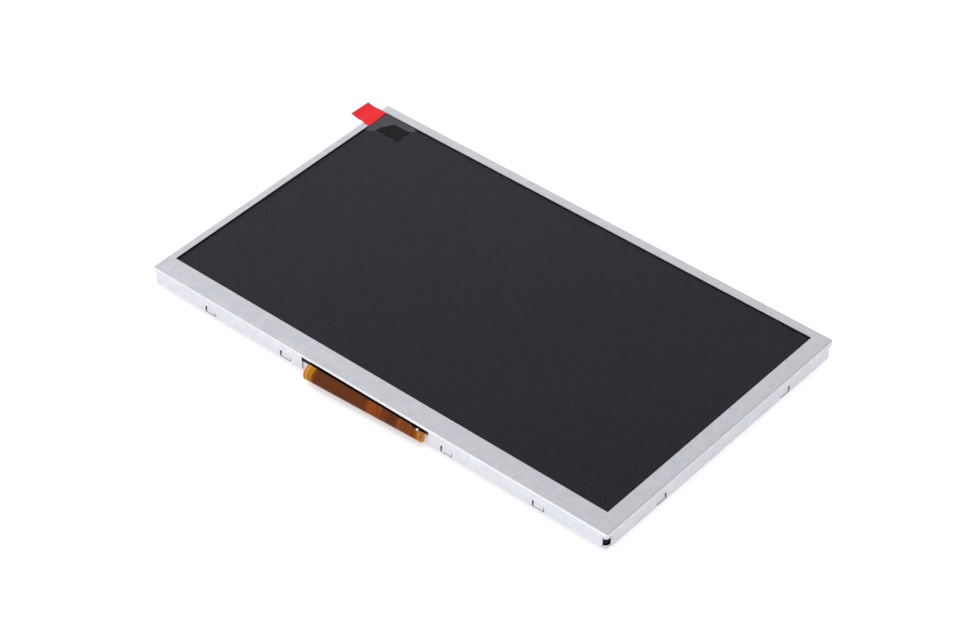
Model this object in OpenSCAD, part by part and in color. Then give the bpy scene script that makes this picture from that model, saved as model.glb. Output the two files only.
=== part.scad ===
// Seven-inch TFT display module: a liquid crystal cell on an edge-lit backlight,
// held between a folded front bezel and a pressed rear cover.
// The origin is the middle of the rear face. +Z points at the viewer, X runs along
// the long sides, and the flexible circuit leaves on the -Y side (the near side).

/* [Outline] */
// Length of the module along X, over the bezel
module_l = 165; // [150:0.5:190]
// Width of the module along Y, over the bezel
module_w = 100; // [92:0.5:130]
// Radius of the bezel's corners, seen from the front
corner_r = 1.25; // [0.8:0.05:1.6]

/* [Front bezel] */
// Thickness of the bezel's sheet
bezel_t = 0.3; // [0.2:0.05:0.4]
// Outer radius of the bezel's folded edges
bend_r = 0.5; // [0.45:0.05:0.7]
// Width of the bezel on the left (-X)
bezel_left = 2.53; // [2.4:0.01:6]
// Width of the bezel on the right (+X), over the gate driver
bezel_right = 5.32; // [5:0.01:9]
// Width of the bezel on the near side (-Y), over the source drivers
bezel_near = 6.97; // [6.7:0.01:10]
// Width of the bezel on the far side (+Y)
bezel_far = 3.34; // [3:0.01:7]
// Height of the bezel wall's lower edge above the rear face
skirt_z = 0.7; // [0.5:0.05:0.9]
// Depth of the drawn lip at each corner, below the front face
corner_lip = 1.65; // [1.2:0.05:2.2]
// Distance from the corner to the end of the long walls
long_wall_gap = 1.25; // [0.8:0.05:2]
// Distance from the corner to the end of the short walls
short_wall_gap = 1.8; // [0.8:0.05:2.4]
// Width of the relief notch beside each end of a wall
relief_w = 0.4; // [0.3:0.05:0.7]
// How far the relief notches rise above the corner lip's edge
relief_rise = 0.35; // [0.1:0.05:0.5]

/* [Snap hooks] */
// Width of the windows that the rear cover's hooks snap into
window_w = 4; // [3:0.1:5]
// Height of those windows
window_h = 2.1; // [1.6:0.1:2.2]
// Height of the windows' lower edge above the rear face
window_z = 1; // [0.9:0.05:1.1]
// Gap at each end of a hook in its window
hook_gap = 0.35; // [0.2:0.05:0.5]
// Gap under a hook's lower edge
hook_sill = 0.05; // [0.04:0.01:0.15]
// Distance from the top of a window down to its hook's hinge line
hook_hinge = 0.15; // [0.1:0.05:0.3]
// How far a hook's lower edge stands out of the cover's wall
hook_out = 0.3; // [0.15:0.05:0.35]
// Distance from the short sides to the outer hooks of the long sides
hook_end = 22.9; // [16:0.1:30]
// Distance from the slot for the flexible circuit to the hooks beside it
hook_slot = 6.25; // [4:0.05:10]
// Distance between the hooks of a short side
hook_side = 54.6; // [40:0.1:66]
// Distance from the module's middle to the middle of those two hooks, along Y
hook_side_y = 0.4; // [-1:0.1:1]

/* [Rear cover] */
// Thickness of the rear cover's sheet
cover_t = 0.3; // [0.2:0.05:0.4]
// Outer radius of the rear cover's bends
cover_bend = 0.6; // [0.45:0.05:0.65]
// Radius of the rear cover's corners, seen from behind
cover_corner_r = 1.6; // [1.2:0.1:2]
// Height of the rear cover at its four corners
cover_corner_h = 1.3; // [0.9:0.05:1.6]
// Distance from a corner of the cover to the ends of its walls
cover_relief = 2.2; // [1.8:0.1:3]

/* [Backlight] */
// Thickness of the reflector sheet
reflector_t = 0.2; // [0.1:0.05:0.3]
// Thickness of the light guide
guide_t = 2.3; // [2.1:0.1:3]
// Thickness of the diffuser sheet
diffuser_t = 0.2; // [0.1:0.05:0.3]
// Thickness of each prism sheet
prism_t = 0.15; // [0.1:0.05:0.25]
// Thickness of the top diffuser
top_diffuser_t = 0.15; // [0.1:0.05:0.25]
// How far the light guide reaches past the viewing window, all round
guide_lap = 0.5; // [0.3:0.1:0.6]
// Width of the locating ears on the light guide and the sheets over it
ear_w = 6; // [3:0.5:12]
// How far those ears stand out
ear_out = 1.2; // [0.6:0.1:1.6]
// Distance between the two ears on a side
ear_pitch = 52; // [30:1:70]
// Number of light-emitting diodes
led_count = 27; // [12:1:30]
// Length of a diode's case
led_l = 3.5; // [2:0.1:4]
// Depth of a diode's case
led_d = 1.2; // [0.6:0.1:1.4]
// Height of a diode's case
led_h = 1.9; // [1:0.1:1.95]
// Wall of a diode's case round its cup
led_wall = 0.3; // [0.15:0.05:0.4]
// Width of the diodes' flexible strip
strip_w = 3; // [2:0.1:3.05]
// Thickness of the diodes' flexible strip
strip_t = 0.12; // [0.08:0.01:0.15]

/* [Liquid crystal cell] */
// Thickness of each polariser
polariser_t = 0.2; // [0.1:0.05:0.25]
// Thickness of the lower glass, which carries the transistors
tft_glass_t = 0.5; // [0.3:0.05:0.7]
// Thickness of the upper glass, which carries the colour filter
filter_glass_t = 0.5; // [0.3:0.05:0.7]
// How far the upper glass reaches past the viewing window
filter_lap = 1; // [0.8:0.05:1.1]
// How far the top polariser reaches past the viewing window
polariser_lap = 0.65; // [0.4:0.05:0.7]
// Length of a source driver chip
source_chip_l = 21; // [12:0.5:30]
// Length of the gate driver chip
gate_chip_l = 18; // [10:0.5:30]
// Width of the driver chips
chip_w = 1.1; // [0.8:0.05:1.3]
// Thickness of the driver chips
chip_t = 0.3; // [0.2:0.05:0.4]
// Corner cut of the glasses
glass_cut = 1; // [0.5:0.1:1.5]

/* [Frame and tapes] */
// Thickness of the mould frame's ledge under the cell
ledge_t = 0.5; // [0.4:0.05:0.8]
// How far the mould frame's ledge reaches in past the viewing window's edge
ledge_inset = 0.9; // [0.7:0.05:1.1]
// Wall of the mould frame round the cell
pocket_wall = 0.9; // [0.6:0.05:1]
// Thickness of the tape between the ledge and the cell
rim_tape_t = 0.1; // [0.05:0.01:0.2]
// Thickness of the foam gasket between the polariser and the bezel
gasket_t = 0.25; // [0.15:0.05:0.5]
// Clearance between nested shells
fit_gap = 0.1; // [0.08:0.01:0.12]
// Clearance round the glass in its pocket
glass_gap = 0.2; // [0.1:0.05:0.25]

/* [Flexible circuit] */
// Width of the flexible circuit where it leaves the module
flex_w = 40.7; // [30:0.1:50]
// Distance from the module's middle to the flexible circuit's, along X
flex_x = -1.05; // [-8:0.05:8]
// Thickness of the flexible circuit
flex_t = 0.12; // [0.08:0.01:0.15]
// Angle of the fold line from the near side, in degrees
flex_skew = 2.5; // [0:0.1:2.6]
// Distance from the module's near side in to the middle of the fold line
flex_set = 0.47; // [0.45:0.01:1]
// Length of the part that carries components
board_l = 27; // [24:0.5:34]
// Length of the taper between that part and the tail
taper_l = 3; // [2:0.5:6]
// Length of the tail
tail_l = 34; // [20:1:45]
// Number of contacts at the tail's end
contact_count = 50; // [40:1:60]
// Spacing of the contacts
contact_pitch = 0.5; // [0.4:0.05:0.5]
// Length of the contacts
contact_l = 4; // [3:0.5:6]
// Thickness of the contacts
contact_t = 0.035; // [0.02:0.005:0.05]
// Length of the stiffener behind the contacts
stiffener_l = 10; // [7:0.5:14]
// Thickness of the stiffener
stiffener_t = 0.18; // [0.1:0.01:0.19]
// Thickness of the tape that holds the flexible circuit to the rear cover
flex_tape_t = 0.2; // [0.19:0.01:0.3]
// Width of the slot in the bezel for the flexible circuit
slot_w = 46.2; // [44:0.1:60]
// Distance from the module's middle to the slot's, along X
slot_x = -1.5; // [-1.7:0.05:0]
// Height of the fold left above the slot
slot_lip = 0.65; // [0.6:0.05:0.8]

/* [Parts on the flexible circuit] */
// Distance from the end of the component area to the last row of parts
row_in = 4; // [3:0.5:6]
// Distance between the rows
row_gap = 3.2; // [2.8:0.1:4]
// Number of large capacitors
large_count = 6; // [2:1:8]
// Spacing of the large capacitors
large_pitch = 5; // [3:0.5:6]
// Number of small capacitors in each of their two rows
small_count = 10; // [4:1:12]
// Spacing of the small capacitors
small_pitch = 3; // [2:0.5:3]
// Number of resistors
resistor_count = 8; // [2:1:10]
// Spacing of the resistors
resistor_pitch = 4; // [2:0.5:4]
// Spacing of the two diode arrays
array_pitch = 14; // [6:1:20]
// Step from the end caps of a chip part down to its body
cap_step = 0.05; // [0.02:0.01:0.1]

/* [Backlight tail] */
// Distance from the slot's right end to the strip's tail
tail_shift = 2.4; // [1.5:0.1:6]
// Width of the strip's tail where it leaves through the rear cover
strip_tail_w = 6; // [4:0.5:8]
// Width of the strip's tail on the rear face
strip_tail_d = 4; // [3:0.5:6]
// How far the strip's tail laps over the flexible circuit
strip_tail_lap = 7; // [4:0.5:10]

/* [Film and pull tab] */
// Thickness of the protective film
film_t = 0.06; // [0.04:0.01:0.1]
// Gap from the film's edge to the bezel's window
film_gap = 0.35; // [0.2:0.05:0.6]
// Length of the lifted corner along X
lift_l = 12.2; // [8:0.1:16]
// Length of the lifted corner along Y
lift_w = 9.3; // [7:0.1:14]
// Length of the pull tab
pull_l = 8; // [5:0.1:12]
// Width of the pull tab
pull_w = 7.4; // [5:0.1:12]
// Thickness of the pull tab
pull_t = 0.08; // [0.05:0.01:0.12]
// How far the pull tab reaches past the module's left side
pull_out = 5.2; // [0:0.1:5.4]

/* [Hidden] */
$fn = 48;
eps = 0.01;

// Heights of the layers, from the rear face forward
reflector_z = cover_t;
guide_z = reflector_z + reflector_t;
diffuser_z = guide_z + guide_t;
lower_prism_z = diffuser_z + diffuser_t;
upper_prism_z = lower_prism_z + prism_t;
top_diffuser_z = upper_prism_z + prism_t;
ledge_z = top_diffuser_z + top_diffuser_t + fit_gap;
rim_tape_z = ledge_z + ledge_t;
tft_z = rim_tape_z + rim_tape_t;
filter_z = tft_z + tft_glass_t;
top_polariser_z = filter_z + filter_glass_t;
gasket_z = top_polariser_z + polariser_t;
bezel_z = gasket_z + gasket_t;
module_t = bezel_z + bezel_t;

// Edges of the viewing window as [left, near, right, far]
window_edge = [
    -module_l / 2 + bezel_left,
    -module_w / 2 + bezel_near,
    module_l / 2 - bezel_right,
    module_w / 2 - bezel_far
];

// Outlines as [left, near, right, far]
bezel_out = centred(module_l, module_w);
cover_out = grown(bezel_out, -bezel_t - fit_gap);
frame_out = grown(cover_out, -cover_t - fit_gap);
glass_pocket = grown(cover_out, -pocket_wall);
tft_edge = grown(glass_pocket, -glass_gap);
filter_edge = within(grown(window_edge, filter_lap), tft_edge);
polariser_edge = within(grown(window_edge, polariser_lap), filter_edge);
ledge_edge = grown(window_edge, -ledge_inset);
lower_polariser_edge = grown(ledge_edge, -glass_gap);
guide_edge = grown(window_edge, guide_lap);
strip_far = guide_edge[1] - fit_gap;
strip_near = strip_far - strip_w;
frame_bay = [
    guide_edge[0] - fit_gap, strip_near - fit_gap, guide_edge[2] + fit_gap, guide_edge[3] + fit_gap
];

// Walls and hooks
cover_wall_z = ledge_z - fit_gap;
slot_z = module_t - slot_lip;
slot_left = slot_x - slot_w / 2;
slot_right = slot_x + slot_w / 2;
near_hooks = [-module_l / 2 + hook_end, slot_left - hook_slot, slot_right + hook_slot, module_l / 2 - hook_end];
side_hooks = [for (side = [-1, 1]) hook_side_y + side * hook_side / 2];
hook_w = window_w - 2 * hook_gap;
hook_hinge_z = window_z + window_h - hook_hinge;
hook_h = hook_hinge_z - window_z - hook_sill;
hook_angle = asin(hook_out / hook_h);

// Fold of the flexible circuit, an arc of half a turn from the cell to the rear face
fold_r = (filter_z + flex_tape_t) / 2;
fold_z = filter_z - fold_r;
fold_y = -module_w / 2 + flex_set;
fold_edge = 0.9 * fold_r;
fold_drift = 2 * fold_edge * tan(flex_skew);
flex_rear_z = -flex_tape_t - flex_t;
tail_w = contact_pitch * (contact_count + 1);
tail_end = board_l + taper_l + tail_l;
bond_w = 1.2;

// Tail of the diodes' strip
strip_tail_x = slot_right + tail_shift;

// Sizes of the parts soldered to the flexible circuit, as [length, width, height]
large_capacitor = [2, 1.25, 0.85];
small_capacitor = [1, 0.5, 0.5];
resistor = [1, 0.5, 0.35];
large_cap = 0.5;
small_cap = 0.25;
diode_body = [2.9, 1.3, 1];
joint = [1.2, 2.4, 0.15];
joint_in = 0.6;
joint_pitch = 1.9;

function centred(l, w) = [-l / 2, -w / 2, l / 2, w / 2];
function grown(e, d) = [e[0] - d, e[1] - d, e[2] + d, e[3] + d];
function within(e, limit) =
    [max(e[0], limit[0]), max(e[1], limit[1]), min(e[2], limit[2]), min(e[3], limit[3])];

// Plain rectangle between four edges
module field(e) {
    translate([e[0], e[1]]) square([e[2] - e[0], e[3] - e[1]]);
}

// Rectangle between four edges with round corners
module round_field(e, r) {
    field([e[0] + r, e[1], e[2] - r, e[3]]);
    field([e[0], e[1] + r, e[2], e[3] - r]);
    for (x = [e[0] + r, e[2] - r], y = [e[1] + r, e[3] - r])
        translate([x, y]) circle(r);
}

// Flat sheet between four edges
module sheet(e, z, t) {
    translate([0, 0, z]) linear_extrude(t) field(e);
}

// Section of a tray from edge a to edge b: flat at height h, rounded over to its walls
module tray_section(a, b, h, r) {
    translate([a, 0]) square([b - a, h - r]);
    translate([a + r, 0]) square([b - a - 2 * r, h]);
    for (x = [a + r, b - r])
        translate([x, h - r]) circle(r);
}

// Solid block between four edges, h high, its upper edges rounded to r and its corners to rc
module domed_block(e, h, r, rc) {
    intersection() {
        linear_extrude(h) round_field(e, rc);
        rotate([90, 0, 90]) linear_extrude(2 * module_l, center = true)
            tray_section(e[1], e[3], h, r);
        rotate([90, 0, 0]) linear_extrude(2 * module_w, center = true)
            tray_section(e[0], e[2], h, r);
    }
}

// The same block upside down, from z_low up to z_high
module keeled_block(e, z_low, z_high, r, rc) {
    translate([0, 0, z_high]) mirror([0, 0, 1]) domed_block(e, z_high - z_low, r, rc);
}

// Places its children on each long wall, at each x in xs. y points out of the module
module on_long_walls(e, xs) {
    for (x = xs) {
        translate([x, e[1], 0]) rotate(180) children();
        translate([x, e[3], 0]) children();
    }
}

// Places its children on each short wall, at each y in ys. y points out of the module
module on_short_walls(e, ys) {
    for (y = ys) {
        translate([e[0], y, 0]) rotate(90) children();
        translate([e[2], y, 0]) rotate(-90) children();
    }
}

// Cuts the walls free at the corners: gaps gx and gy from each corner, up or down to z
module corner_cuts(e, gx, gy, z_low, z_high) {
    for (sx = [0, 2], sy = [1, 3])
        translate([
            sx == 0 ? e[0] - eps : e[2] - gx,
            sy == 1 ? e[1] - eps : e[3] - gy,
            z_low
        ]) cube([gx + eps, gy + eps, z_high - z_low]);
}

// Front bezel: one folded sheet with the viewing window, the slot and the snap windows
module front_bezel() {
    color([0.83, 0.84, 0.86]) difference() {
        domed_block(bezel_out, module_t, bend_r, corner_r);
        translate([0, 0, -eps])
            domed_block(grown(bezel_out, -bezel_t), bezel_z + eps, bend_r - bezel_t, corner_r - bezel_t);
        translate([-module_l, -module_w, -eps]) cube([2 * module_l, 2 * module_w, skirt_z + eps]);
        sheet(window_edge, bezel_z - 1, bezel_t + 2);
        corner_cuts(bezel_out, long_wall_gap, short_wall_gap, 0, module_t - corner_lip);
        on_long_walls(bezel_out, [for (side = [-1, 1]) side * (module_l / 2 - long_wall_gap)]) relief_notch();
        on_short_walls(bezel_out, [for (side = [-1, 1]) side * (module_w / 2 - short_wall_gap)]) relief_notch();
        // Slot for the flexible circuit
        translate([slot_left, -module_w / 2 - 1, 0]) cube([slot_w, 2, slot_z]);
        // Windows for the hooks
        on_long_walls(bezel_out, near_hooks) snap_window();
        on_short_walls(bezel_out, side_hooks) snap_window();
    }
}

// Round-topped notch that lets a wall bend without tearing the corner
module relief_notch() {
    top_z = module_t - corner_lip + relief_rise;
    rotate([90, 0, 0]) linear_extrude(4 * bezel_t, center = true) {
        translate([0, top_z - relief_w / 2]) circle(relief_w / 2, $fn = 24);
        translate([-relief_w / 2, 0]) square([relief_w, top_z - relief_w / 2]);
    }
}

module snap_window() {
    translate([-window_w / 2, -2 * bezel_t, window_z]) cube([window_w, 3 * bezel_t, window_h]);
}

// Rear cover: one pressed tray, with its hooks lanced out of the walls
module rear_cover() {
    color([0.82, 0.83, 0.84]) {
        difference() {
            keeled_block(cover_out, 0, cover_wall_z, cover_bend, cover_corner_r);
            keeled_block(grown(cover_out, -cover_t), cover_t, cover_wall_z + 1, cover_bend - cover_t, cover_corner_r - cover_t);
            corner_cuts(cover_out, cover_relief, cover_relief, cover_corner_h, cover_wall_z + 1);
            on_long_walls(cover_out, near_hooks) hook_opening();
            on_short_walls(cover_out, side_hooks) hook_opening();
            // Slot for the backlight's tail
            translate([strip_tail_x - fit_gap, strip_near - fit_gap, -1])
                cube([strip_tail_w + 2 * fit_gap, strip_t + 2 * fit_gap, cover_t + 2]);
        }
        on_long_walls(cover_out, near_hooks) hook();
        on_short_walls(cover_out, side_hooks) hook();
    }
}

module hook_opening() {
    translate([-window_w / 2, -2 * cover_t, window_z])
        cube([window_w, 3 * cover_t, hook_hinge_z - window_z]);
}

// Hook hinged along its top edge, its lower edge proud of the wall
module hook() {
    translate([0, -cover_t, hook_hinge_z]) rotate([hook_angle, 0, 0])
        translate([-hook_w / 2, 0, -hook_h]) cube([hook_w, cover_t, hook_h + eps]);
}

module reflector_sheet() {
    color([0.95, 0.96, 0.97]) sheet(guide_edge, reflector_z, reflector_t);
}

// Places of the locating ears along Y
function ear_places() = [for (side = [-1, 1]) (guide_edge[1] + guide_edge[3] + side * ear_pitch) / 2];

// Light guide or sheet over it, with two locating ears on the right side
module optic(z, t) {
    translate([0, 0, z]) linear_extrude(t) {
        field(guide_edge);
        for (y = ear_places())
            translate([guide_edge[2] - ear_out, y - ear_w / 2]) square([2 * ear_out, ear_w]);
    }
}

module light_guide() {
    color([0.85, 0.93, 0.95, 0.6]) optic(guide_z, guide_t);
}

module diffuser_sheet() {
    color([0.93, 0.94, 0.95]) optic(diffuser_z, diffuser_t);
}

module lower_prism_sheet() {
    color([0.86, 0.88, 0.9]) optic(lower_prism_z, prism_t);
}

module upper_prism_sheet() {
    color([0.84, 0.86, 0.9]) optic(upper_prism_z, prism_t);
}

module top_diffuser() {
    color([0.92, 0.93, 0.94]) optic(top_diffuser_z, top_diffuser_t);
}

// Flexible strip under the diodes, with the tail that leaves through the rear cover
module led_strip() {
    tail_z = flex_rear_z - strip_t;
    tail_left = slot_right - strip_tail_lap;
    color([0.75, 0.45, 0.12]) {
        sheet([guide_edge[0], strip_near, guide_edge[2], strip_far], cover_t, strip_t);
        translate([strip_tail_x, strip_near, tail_z]) cube([strip_tail_w, strip_t, cover_t + strip_t - tail_z]);
        sheet([tail_left, strip_near, strip_tail_x + strip_tail_w, strip_near + strip_tail_d], tail_z, strip_t);
    }
}

// Diodes along the light guide's near edge
module leds() {
    pitch = (guide_edge[2] - guide_edge[0]) / led_count;
    color([0.97, 0.96, 0.85])
        for (i = [0 : led_count - 1])
            translate([guide_edge[0] + (i + 0.5) * pitch - led_l / 2, strip_far - led_d, cover_t + strip_t])
                difference() {
                    cube([led_l, led_d, led_h]);
                    translate([led_wall, led_d / 2, led_wall])
                        cube([led_l - 2 * led_wall, led_d, led_h - 2 * led_wall]);
                }
}

// Mould frame: the black ring round the light guide, with the ledge and pocket for the cell
module mould_frame() {
    notch_w = flex_w + 4 * glass_gap;
    color([0.09, 0.09, 0.1]) difference() {
        union() {
            keeled_block(frame_out, cover_t, ledge_z, cover_bend, cover_corner_r - cover_t);
            translate([0, 0, ledge_z]) linear_extrude(bezel_z - fit_gap - ledge_z) round_field(cover_out, corner_r - bezel_t);
        }
        sheet(frame_bay, 0, ledge_z);
        for (y = ear_places())
            translate([frame_bay[2] - eps, y - ear_w / 2 - fit_gap, 0])
                cube([ear_out + eps, ear_w + 2 * fit_gap, ledge_z]);
        sheet(ledge_edge, 0, bezel_z);
        sheet(glass_pocket, rim_tape_z, bezel_z);
        // Notch that the flexible circuit passes through
        translate([flex_x - notch_w / 2, -module_w / 2 - 1, rim_tape_z]) cube([notch_w, module_w / 2, bezel_z]);
    }
}

// Ring of tape that seals the cell on the ledge
module rim_tape() {
    color([0.1, 0.1, 0.11]) difference() {
        sheet(tft_edge, rim_tape_z, rim_tape_t);
        sheet(ledge_edge, rim_tape_z - 1, rim_tape_t + 2);
    }
}

module bottom_polariser() {
    color([0.2, 0.2, 0.23]) sheet(lower_polariser_edge, tft_z - polariser_t, polariser_t);
}

// Glass sheet with its corners cut
module glass_sheet(e, z, t) {
    translate([0, 0, z]) linear_extrude(t) polygon([
        [e[0] + glass_cut, e[1]], [e[2] - glass_cut, e[1]], [e[2], e[1] + glass_cut], [e[2], e[3] - glass_cut],
        [e[2] - glass_cut, e[3]], [e[0] + glass_cut, e[3]], [e[0], e[3] - glass_cut], [e[0], e[1] + glass_cut]
    ]);
}

module tft_glass() {
    color([0.55, 0.62, 0.6]) glass_sheet(tft_edge, tft_z, tft_glass_t);
}

module colour_filter_glass() {
    color([0.3, 0.33, 0.34]) glass_sheet(filter_edge, filter_z, filter_glass_t);
}

module top_polariser() {
    color([0.2, 0.2, 0.22]) sheet(polariser_edge, top_polariser_z, polariser_t);
}

// Bare chip on the lower glass
module driver_chip(x, y, size) {
    color([0.25, 0.26, 0.3])
        translate([x - size[0] / 2, y - size[1] / 2, filter_z]) cube([size[0], size[1], chip_t]);
}

source_chip_y = filter_edge[1] - 0.4 - chip_w / 2;
gate_chip_x = (filter_edge[2] + tft_edge[2]) / 2;

module left_source_driver() {
    driver_chip(window_edge[0] + (window_edge[2] - window_edge[0]) / 4, source_chip_y, [source_chip_l, chip_w]);
}

module right_source_driver() {
    driver_chip(window_edge[2] - (window_edge[2] - window_edge[0]) / 4, source_chip_y, [source_chip_l, chip_w]);
}

module gate_driver() {
    driver_chip(gate_chip_x, (window_edge[1] + window_edge[3]) / 2, [chip_w, gate_chip_l]);
}

// Foam ring that keeps the bezel off the polariser
module cushion_gasket() {
    color([0.06, 0.06, 0.07]) difference() {
        sheet(polariser_edge, gasket_z, gasket_t);
        sheet(grown(window_edge, fit_gap), gasket_z - 1, gasket_t + 2);
    }
}

// Moves its children from the flexible circuit's own axes on the rear face to the module's:
// the origin is the middle of the fold line and y runs along the tail
module on_rear_flex() {
    translate([flex_x, fold_y, 0]) rotate(flex_skew) translate([-fold_drift, 0, 0]) rotate(flex_skew) children();
}

// A point of the circuit's rear leg or its front leg, given along that leg, in the fold's axes
function rear_leg(p) = turned(p, flex_skew) - [fold_drift, 0];
function front_leg(p) = turned(p, -flex_skew);
function turned(p, angle) =
    [p[0] * cos(angle) - p[1] * sin(angle), p[0] * sin(angle) + p[1] * cos(angle)];

// Section of a hairpin: two straight legs joined by half a turn of radius r
module hairpin(r, leg) {
    circle(r);
    translate([0, -r]) square([leg, 2 * r]);
}

// Flexible circuit: bonded to the lower glass, folded round the near side and laid on the rear face
module display_flex() {
    half = flex_w / 2;
    bond = tft_edge[1] + bond_w - fold_y;
    overlap_z = fold_r / 4;
    turn = [
        [half / cos(flex_skew) - fold_drift / 2, -fold_edge], [half / cos(flex_skew) - fold_drift / 2, -2 * fold_r],
        [-half / cos(flex_skew) - fold_drift / 2, -2 * fold_r], [-half / cos(flex_skew) - fold_drift / 2, -fold_edge]
    ];
    color([0.55, 0.32, 0.12]) translate([flex_x, fold_y, fold_z]) rotate(flex_skew) intersection() {
        rotate([90, 0, 90]) linear_extrude(4 * flex_w, center = true) difference() {
            hairpin(fold_r + flex_t, 2 * tail_end);
            hairpin(fold_r, 2 * tail_end + 1);
        }
        union() {
            translate([0, 0, -overlap_z]) linear_extrude(2 * fold_r)
                polygon(concat(turn, [front_leg([-half, bond]), front_leg([half, bond])]));
            translate([0, 0, overlap_z - 2 * fold_r]) linear_extrude(2 * fold_r)
                polygon(concat(turn, [
                    rear_leg([-half, board_l]), rear_leg([-tail_w / 2, board_l + taper_l]),
                    rear_leg([-tail_w / 2, tail_end]), rear_leg([tail_w / 2, tail_end]),
                    rear_leg([tail_w / 2, board_l + taper_l]), rear_leg([half, board_l])
                ]));
        }
    }
}

// Tape under the part of the flexible circuit that carries components
module flex_tape() {
    margin = 2;
    color([0.85, 0.83, 0.75]) on_rear_flex()
        translate([-flex_w / 2 + margin, 2 * margin, -flex_tape_t])
            cube([flex_w - 2 * margin, board_l - 3 * margin, flex_tape_t]);
}

module tail_stiffener() {
    color([0.8, 0.55, 0.15]) on_rear_flex()
        translate([-tail_w / 2, tail_end - stiffener_l, flex_rear_z + flex_t])
            cube([tail_w, stiffener_l, stiffener_t]);
}

// Gold contacts on the outer face of the tail's end
module tail_contacts() {
    contact_w = 0.6 * contact_pitch;
    color([0.9, 0.75, 0.35]) on_rear_flex()
        for (i = [0 : contact_count - 1])
            translate([
                (i - (contact_count - 1) / 2) * contact_pitch - contact_w / 2,
                tail_end - contact_l, flex_rear_z - contact_t
            ]) cube([contact_w, contact_l, contact_t]);
}

// A row of like parts on the flexible circuit's outer face, counted back from the last row
module soldered_row(count, pitch, row) {
    on_rear_flex()
        for (i = [0 : count - 1])
            translate([(i - (count - 1) / 2) * pitch, board_l - row_in - row * row_gap, flex_rear_z])
                mirror([0, 0, 1]) children();
}

// Chip part standing on its middle, with an end cap of length cap at each end of its body
module chip_part(size, cap) {
    translate([-size[0] / 2 + cap_step, -size[1] / 2 + cap_step, 0])
        cube([size[0] - 2 * cap_step, size[1] - 2 * cap_step, size[2] - cap_step]);
    for (x = [-size[0] / 2, size[0] / 2 - cap])
        translate([x, -size[1] / 2, 0]) cube([cap, size[1], size[2]]);
}

// Three-lead diode array: a moulded body with drafted sides on gull-wing leads
module diode_array() {
    body = diode_body;
    foot = 0.55;
    lead_w = 0.4;
    lead_t = 0.12;
    lead_x = 0.95;
    draft = 0.1;
    rotate([90, 0, 0]) linear_extrude(body[1], center = true) polygon([
        [-body[0] / 2 + draft, lead_t], [body[0] / 2 - draft, lead_t],
        [body[0] / 2, body[2] / 2], [body[0] / 2 - draft, body[2]],
        [-body[0] / 2 + draft, body[2]], [-body[0] / 2, body[2] / 2]
    ]);
    for (lead = [[-lead_x, 180], [lead_x, 180], [0, 0]])
        translate([lead[0], 0, 0]) rotate(lead[1]) rotate([90, 0, 90]) linear_extrude(lead_w, center = true)
            polygon([
                [body[1] / 2 - draft, body[2] / 2], [body[1] / 2 + foot / 3, body[2] / 2],
                [body[1] / 2 + foot / 2, lead_t], [body[1] / 2 + foot, lead_t],
                [body[1] / 2 + foot, 0], [body[1] / 2 + foot / 3, 0],
                [body[1] / 2 + foot / 6, body[2] / 2 - lead_t], [body[1] / 2 - draft, body[2] / 2 - lead_t]
            ]);
}

module large_capacitors() {
    color([0.62, 0.5, 0.38]) soldered_row(large_count, large_pitch, 4) chip_part(large_capacitor, large_cap);
}

module small_capacitors() {
    color([0.66, 0.55, 0.42])
        for (row = [2, 3])
            soldered_row(small_count, small_pitch, row) chip_part(small_capacitor, small_cap);
}

module chip_resistors() {
    color([0.12, 0.12, 0.13]) soldered_row(resistor_count, resistor_pitch, 1) chip_part(resistor, small_cap);
}

module diode_arrays() {
    color([0.1, 0.1, 0.11]) soldered_row(2, array_pitch, 0) diode_array();
}

// Solder that joins the backlight's tail to the flexible circuit
module solder_joints() {
    color([0.8, 0.81, 0.83])
        for (i = [0, 1])
            translate([
                slot_right - strip_tail_lap + joint_in + joint_pitch * i,
                strip_near + (strip_tail_d - joint[1]) / 2,
                flex_rear_z - strip_t - joint[2]
            ]) cube(joint);
}

// Tape over those joints
module cover_tape() {
    color([0.85, 0.6, 0.15, 0.7])
        sheet([
            slot_right - strip_tail_lap + joint_in, strip_near + joint_in / 2,
            slot_right - joint_in, strip_near + strip_tail_d - joint_in / 2
        ], flex_rear_z - strip_t - joint[2] - film_t, film_t);
}

// Clear film over the window, its far left corner bent up on to the bezel under the pull tab
module protective_film() {
    edge = grown(window_edge, -film_gap);
    lift_angle = atan(lift_w / lift_l);
    reach = lift_l * sin(lift_angle);
    rise = module_t - gasket_z + film_t;
    lift_r = (reach * reach + rise * rise) / (2 * rise);
    color([0.8, 0.84, 0.9, 0.35]) {
        translate([0, 0, gasket_z]) linear_extrude(film_t) polygon([
            [edge[0], edge[1]], [edge[2], edge[1]], [edge[2], edge[3]],
            [edge[0] + lift_l, edge[3]], [edge[0], edge[3] - lift_w]
        ]);
        intersection() {
            translate([edge[0], edge[3] - lift_w, gasket_z + lift_r]) rotate(lift_angle)
                rotate([90, 0, 90]) linear_extrude(4 * lift_l, center = true) intersection() {
                    difference() {
                        circle(lift_r, $fn = 360);
                        circle(lift_r - film_t, $fn = 360);
                    }
                    translate([-eps, -lift_r]) square([2 * reach, lift_r]);
                }
            translate([edge[0], edge[3], 0]) linear_extrude(2 * module_t)
                polygon([[0, -lift_w], [lift_l, 0], [0, 0]]);
        }
    }
}

// Pull tab: a strip of tape stuck to the film's corner, reaching out over the bezel's left side
module pull_tab() {
    left = -module_l / 2 - pull_out;
    far = window_edge[3];
    color([0.93, 0.2, 0.22]) sheet([left, far - pull_w, left + pull_l, far], module_t + film_t, pull_t);
}

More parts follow.
